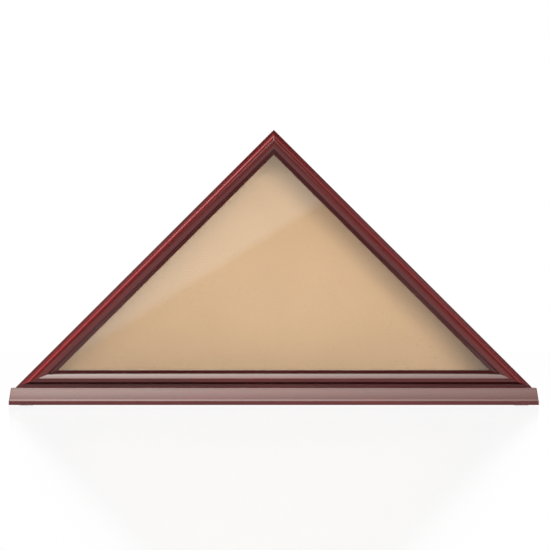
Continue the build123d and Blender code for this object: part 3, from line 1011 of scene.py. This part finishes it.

# Painted light: the three sides share one lacquer but are painted at different brightness, with
# the rise lit on the left and right sides and shaded on the bottom, as each side is lit.
MOULDING_FINISHES = {
    "left": lacquered_wood("lacquered_moulding_left", "grain", 1.40, PAINTED_LIT_RISE, 0.72),
    "right": lacquered_wood("lacquered_moulding_right", "grain", 1.22, PAINTED_LIT_RISE, 0.34),
    "bottom": lacquered_wood("lacquered_moulding_bottom", "grain", 1.0, PAINTED_SHADED_RISE, 0.8),
}
BOARD_FINISH = lacquered_wood("lacquered_board", "grain", 1.4)
PLINTH_FINISH = lacquered_wood("lacquered_plinth", None, 1.15)
PANEL_FINISH = fibreboard("pale_fibreboard")
STRIP_FINISH = softwood("strip_wood", "grain")
GLASS_FINISH = float_glass("clear_float_glass")
PLATE_FINISH = steel("zinc_plate", BRIGHT_ZINC)
SCREW_FINISH = steel("zinc_screw", YELLOW_ZINC)
NAIL_FINISH = steel("nail_steel", BARE_STEEL)
FELT_FINISH = felt("pale_felt")


def same_on_all(finish):
    return {side.name: finish for side in SIDES}


mitred_bars(
    "moulding_", "front_rail_", rail_outline(), BAR_TREE,
    MOULDING_FINISHES,
)
mitred_bars(
    "box_board_", "wall_", wall_outline(), BAR_TREE,
    same_on_all(BOARD_FINISH),
)
mitred_bars(
    "glass_strip_", "glass_stop_", stop_outline(), BAR_TREE,
    same_on_all(STRIP_FINISH),
)
seated(plinth_piece(PLINTH_FINISH), "plinth")

GLASS_INSET = WALL_THICK + RABBET_LAND + EDGE_GAP
PANEL_INSET = WALL_THICK - REBATE_WIDTH + EDGE_GAP
pane = triangular_sheet(
    "glass_sheet", GLASS_INSET, GLASS_LOW.y, GLASS_HIGH.y, GLASS_EDGE, GLASS_FINISH
)
seated(pane, "glass_pane")
board = triangular_sheet(
    "back_board", PANEL_INSET, PANEL_LOW.y, PANEL_HIGH.y, PANEL_EDGE, PANEL_FINISH
)
seated(board, "back_panel", body="back_panel")

PIVOTS = turn_buttons(PLAIN_TREE, PLATE_FINISH)
pivot_screws(SLOTTED_TREE, PIVOTS, SCREW_FINISH)
plinth_screws(SLOTTED_TREE, SCREW_FINISH)
felt_pads(PLAIN_TREE, FELT_FINISH)

for name in ("v_nails", "corner_brads", "stop_brads"):
    node = frame["nodes"][name]
    node.data.materials.clear()
    node.data.materials.append(NAIL_FINISH)


# ======================================================================================
# Stage, light and camera
# ======================================================================================
ROOM_LEVEL = 0.25           # brightness of the dull room, beside a white of 1
WALL_LEVEL = 0.95           # brightness of the pale wall far in front
FLOOR_REACH = 12.0
FLOOR_BRIGHT = 0.9          # how far in front the floor stays white
FLOOR_FADE = 1.2            # over what length it then dulls
FLOOR_SHEEN = 0.09
PATCH_DULL = 0.65
WINDOW_AHEAD = 0.60         # from the middle of the case to the slanting light
VEIL_HEIGHT = 0.236         # lower edge of that light above X = 0
VEIL_SLOPE = 0.617
VEIL_SOFT = 0.017
VEIL_GLOW = 1.9
VEIL_TINT = (0.70, 0.93, 1.0, 1.0)
BANK_RADIUS = 8.0
BANK_HALF_WIDTH = 1.7
BANK_FROM = 6               # degrees above the floor
BANK_SPAN = 82
BANK_STEPS = 24
BANK_GLOW = 9.0
BANK_FALL = 0.28            # loss of brightness for each metre to the right
BANK_TINT = (1.0, 0.93, 0.86, 1.0)
GLINT_PLACE = (-0.84, 0.45, 1.08)
GLINT_RADIUS = 0.35
GLINT_GLOW = 5.0


def staged_card(name, corners, faces, material):
    """A plain staged sheet."""
    mesh = bpy.data.meshes.new(name)
    mesh.from_pydata(corners, [], faces)
    mesh.materials.append(material)
    card = bpy.data.objects.new(name, mesh)
    bpy.context.scene.collection.objects.link(card)
    return card


def only_mirrored(card):
    """The card is seen in reflections and nowhere else."""
    card.visible_camera = False
    card.visible_diffuse = False
    card.visible_shadow = False
    card.visible_transmission = False


def stage_floor():
    """White floor with a faint sheen. Away in front it lights no more than the dull room.

    A dull patch ahead on the right keeps the left moulding's mirror image dark near its top.
    """
    f = Finish("white_floor")
    y = f.node("ShaderNodeSeparateXYZ", None, {0: f.place()}, out="Y")
    seen = f.node("ShaderNodeLightPath", out="Is Camera Ray")
    mirrored = f.other(seen, "Is Singular Ray")
    lit = f.ramp((-FLOOR_BRIGHT - y) / FLOOR_FADE, (0.0, 1.0), (1.0, ROOM_LEVEL))
    right = f.ramp(f.other(y, "X"), (0.05, 0.0), (0.22, 1.0))
    ahead = f.ramp(-0.5 * y, (0.28, 0.0), (0.40, 1.0), (0.57, 1.0), (0.68, 0.0))
    lit = lit * (1 - PATCH_DULL * right * ahead)
    level = lit + (WALL_LEVEL - lit) * mirrored
    level = f.math("MAXIMUM", seen, level)
    glow = f.node("ShaderNodeEmission", None, {"Color": (1, 1, 1, 1), "Strength": level})
    sheen = f.node("ShaderNodeBsdfGlossy", None, {"Color": (1, 1, 1, 1), "Roughness": 0.10})
    both = f.node("ShaderNodeMixShader", None, {0: FLOOR_SHEEN * seen, 1: glow, 2: sheen})
    far = FLOOR_REACH
    corners = [(-far, -far, 0), (far, -far, 0), (far, far, 0), (-far, far, 0)]
    staged_card("floor", corners, [(0, 1, 2, 3)], f.finish(both))


def window_card():
    """A pale slanting light in front that only the clear glass mirrors."""
    f = Finish("window_light")
    path = f.node("ShaderNodeLightPath", out="Is Singular Ray")
    x = f.node("ShaderNodeSeparateXYZ", None, {0: f.place()}, out="X")
    height = f.other(x, "Z")
    inside = (height - VEIL_HEIGHT - VEIL_SLOPE * x) / VEIL_SOFT
    mask = f.ramp(inside, (0.0, 0.0), (0.5, 0.55), (1.0, 1.0))
    glow = f.node(
        "ShaderNodeEmission", None, {"Color": VEIL_TINT, "Strength": VEIL_GLOW * mask * path}
    )
    clear = f.node("ShaderNodeBsdfTransparent")
    material = f.finish(f.node("ShaderNodeAddShader", None, {0: glow, 1: clear}))
    y = -WINDOW_AHEAD
    corners = [(-1, y, -0.4), (1, y, -0.4), (1, y, 1), (-1, y, 1)]
    only_mirrored(staged_card("window", corners, [(0, 1, 2, 3)], material))


def glint_card():
    """A small soft light, high behind the left, that the left moulding mirrors by the apex."""
    f = Finish("glint_light")
    reach = f.node("ShaderNodeVectorMath", {"operation": "DISTANCE"}, {
        0: f.place(), 1: GLINT_PLACE,
    }, out="Value")
    glow = f.ramp(reach / GLINT_RADIUS, (0.0, 1.0), (1.0, 0.0))
    light = f.node("ShaderNodeEmission", None, {"Strength": GLINT_GLOW * glow})
    clear = f.node("ShaderNodeBsdfTransparent")
    material = f.finish(f.node("ShaderNodeAddShader", None, {0: light, 1: clear}))
    centre = Vector(GLINT_PLACE)
    facing = (Vector((0, 0, 0.25)) - centre).to_track_quat("Z", "Y")
    corners = [
        centre + facing @ Vector((x * GLINT_RADIUS, y * GLINT_RADIUS, 0))
        for x, y in ((-1, -1), (1, -1), (1, 1), (-1, 1))
    ]
    only_mirrored(staged_card("glint", corners, [(0, 1, 2, 3)], material))


def overhead_bank():
    """A tall bank of soft warm light that arches over the front, for the lacquer to mirror."""
    f = Finish("bank_light")
    x = f.node("ShaderNodeSeparateXYZ", None, {0: f.place()}, out="X")
    rise = f.other(x, "Z") / BANK_RADIUS
    up = f.ramp(rise, (0.19, 0.0), (0.26, 0.80), (0.5, 0.78), (0.94, 1.0))
    edge = f.ramp(f.math("ABSOLUTE", x) / BANK_HALF_WIDTH, (0.75, 1.0), (1.0, 0.0))
    glow = BANK_GLOW * up * edge * (1 - BANK_FALL * x)
    sockets = {"Color": BANK_TINT, "Strength": glow}
    material = f.finish(f.node("ShaderNodeEmission", None, sockets))
    corners, faces = [], []
    for step in range(BANK_STEPS + 1):
        angle = math.radians(BANK_FROM + BANK_SPAN * step / BANK_STEPS)
        y, z = -BANK_RADIUS * math.cos(angle), BANK_RADIUS * math.sin(angle)
        corners += [(-BANK_HALF_WIDTH, y, z), (BANK_HALF_WIDTH, y, z)]
    for step in range(BANK_STEPS):
        first = 2 * step
        faces.append((first, first + 1, first + 3, first + 2))
    only_mirrored(staged_card("overhead_bank", corners, faces, material))


def area_light(name, place, target, width, height, power):
    """A soft rectangular lamp that only lights: neither the lacquer nor the glass shows it."""
    light = bpy.data.lights.new(name, "AREA")
    light.shape = "RECTANGLE"
    light.size = width
    light.size_y = height
    light.energy = power
    lamp = bpy.data.objects.new(name, light)
    bpy.context.scene.collection.objects.link(lamp)
    lamp.location = place
    lamp.rotation_euler = (Vector(target) - Vector(place)).to_track_quat("-Z", "Y").to_euler()
    lamp.visible_camera = False
    lamp.visible_glossy = False
    lamp.visible_transmission = False


def studio_sky():
    """White room behind the case; a dull one in front, with a pale wall low and far away."""
    world = bpy.data.worlds.new("studio")
    bpy.context.scene.world = world
    world.use_nodes = True
    g = Graph(world.node_tree)
    way = g.node("ShaderNodeTexCoord", out="Generated")
    y = g.node("ShaderNodeSeparateXYZ", None, {0: way}, out="Y")
    z = g.other(y, "Z")
    dull, white = (ROOM_LEVEL,) * 3, (1.0,) * 3
    black = (0.0,) * 3
    round_about = [(0.40, white), (0.60, dull)]
    around = g.node("ShaderNodeValToRGB", {"stops": round_about}, {"Fac": 0.5 - 0.5 * y})
    ahead = [(0.988, black), (0.9975, white)]
    wall = g.node("ShaderNodeValToRGB", {"stops": ahead}, {"Fac": 0.5 - 0.5 * y})
    upwards = [(0.03, white), (0.085, (0.25,) * 3)]
    low_down = g.node("ShaderNodeValToRGB", {"stops": upwards}, {"Fac": z})
    level = around + (WALL_LEVEL - ROOM_LEVEL) * wall * low_down
    seen = g.node("ShaderNodeLightPath", out="Is Camera Ray")
    plain = g.node("ShaderNodeBackground", None, {"Color": (1, 1, 1, 1), "Strength": 1.0})
    room = g.node("ShaderNodeBackground", None, {"Color": (1, 1, 1, 1), "Strength": level})
    both = g.node("ShaderNodeMixShader", None, {0: seen, 1: room, 2: plain})
    g.node("ShaderNodeOutputWorld", None, {"Surface": both})


def studio():
    studio_sky()
    stage_floor()
    window_card()
    overhead_bank()
    glint_card()
    area_light(
        "front_light", place=(0.6, -3.3, 0.47), target=(0, 0, 0.15),
        width=2.0, height=0.84, power=66,
    )
    area_light(
        "low_light", place=(0, -1.2, 0.07), target=(0, 0, 0.25),
        width=1.6, height=0.12, power=6.0,
    )
    area_light(
        "left_light", place=(-0.95, 0.05, 0.85), target=(-0.1, 0, 0.25),
        width=0.5, height=0.5, power=13.5,
    )
    area_light(
        "right_light", place=(0.95, 0.05, 0.85), target=(0.1, 0, 0.25),
        width=0.5, height=0.5, power=3.5,
    )


def camera():
    """Straight on, from far away and a little above."""
    distance = 3.0
    eye_height = 0.085
    field = 0.6875
    aim = Vector((0.0015, PLINTH_LOW.y, 0.1634))
    view = bpy.data.cameras.new("camera")
    view.sensor_width = 36.0
    view.lens = view.sensor_width * distance / field
    view.clip_end = 50.0
    eye = bpy.data.objects.new("camera", view)
    bpy.context.scene.collection.objects.link(eye)
    back = Vector((0, -distance, eye_height - aim.z)).normalized()
    eye.location = aim + back * distance
    eye.rotation_euler = (-back).to_track_quat("-Z", "Y").to_euler()
    bpy.context.scene.camera = eye


studio()
camera()
bpy.context.scene.view_settings.view_transform = "Standard"
